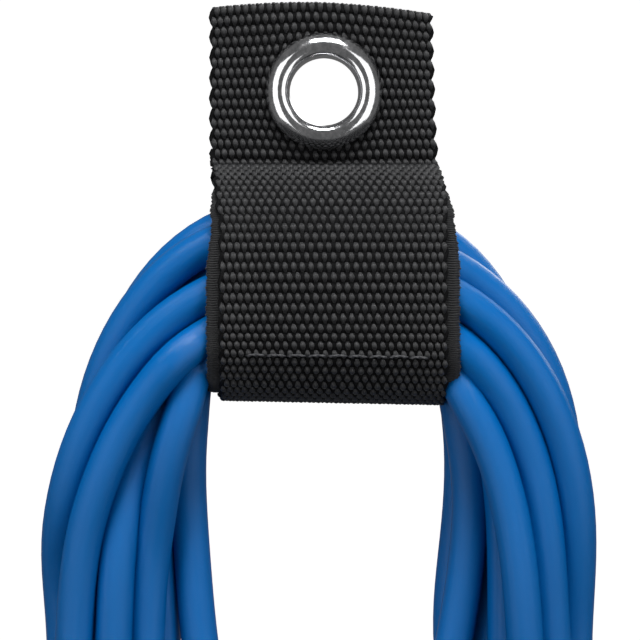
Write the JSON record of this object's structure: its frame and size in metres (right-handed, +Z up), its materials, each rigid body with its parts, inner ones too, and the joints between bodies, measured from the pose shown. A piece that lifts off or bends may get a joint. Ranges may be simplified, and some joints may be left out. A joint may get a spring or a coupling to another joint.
{
  "type": "extension cord",
  "caption": "Round jacketed extension cord wound into an oval coil, held by a webbing strap with a metal grommet, with a three-pin plug and connector.",
  "frame": {"origin": "centre of the hanging grommet's hole, midway through the webbing", "axes": "+Z up along the hanging coil, +X across the strap to the right as seen from the front, +Y towards the wall it hangs against"},
  "size_m": [0.126, 0.0349, 0.4244],
  "materials": {
    "webbing": "woven matte",
    "pile": "napped pile",
    "hook_tape": "moulded hooks on woven tape",
    "thread": "twisted",
    "grommet": "nickel plated, polished",
    "jacket": "satin extruded",
    "moulding": "moulded satin",
    "insert": "moulded",
    "brass": "stamped, bright",
    "line_insulation": "extruded",
    "neutral_insulation": "extruded",
    "ground_insulation": "extruded"
  },
  "bodies": {
    "hung_cord": {"strap_webbing": "webbing", "pile_lining": "pile", "loop_patch": "pile", "front_seam_thread": "thread", "tongue_seam_thread": "thread", "grommet_eyelet": "grommet", "grommet_washer": "grommet", "cord_coil": "jacket", "plug_lead": "jacket", "connector_lead": "jacket", "plug_body": "moulding", "plug_core": "insert", "line_blade": "brass", "neutral_blade": "brass", "ground_pin": "brass", "plug_line_wire": "line_insulation", "plug_neutral_wire": "neutral_insulation", "plug_ground_wire": "ground_insulation", "plug_strain_relief": "moulding", "connector_body": "moulding", "connector_face": "insert", "line_contact": "brass", "neutral_contact": "brass", "ground_contact": "brass", "connector_line_wire": "line_insulation", "connector_neutral_wire": "neutral_insulation", "connector_ground_wire": "ground_insulation", "connector_strain_relief": "moulding"},
    "closure_flap": {"flap_webbing": "webbing", "hook_strip": "hook_tape", "flap_seam_thread": "thread"}
  },
  "joints": [
    {"name": "flap_peel", "type": "hinge", "parent": "hung_cord", "child": "closure_flap", "pos_m": [0, 0.00165, -0.0738], "axis": [-1, 0, 0], "range_deg": [0, 150]}
  ]
}
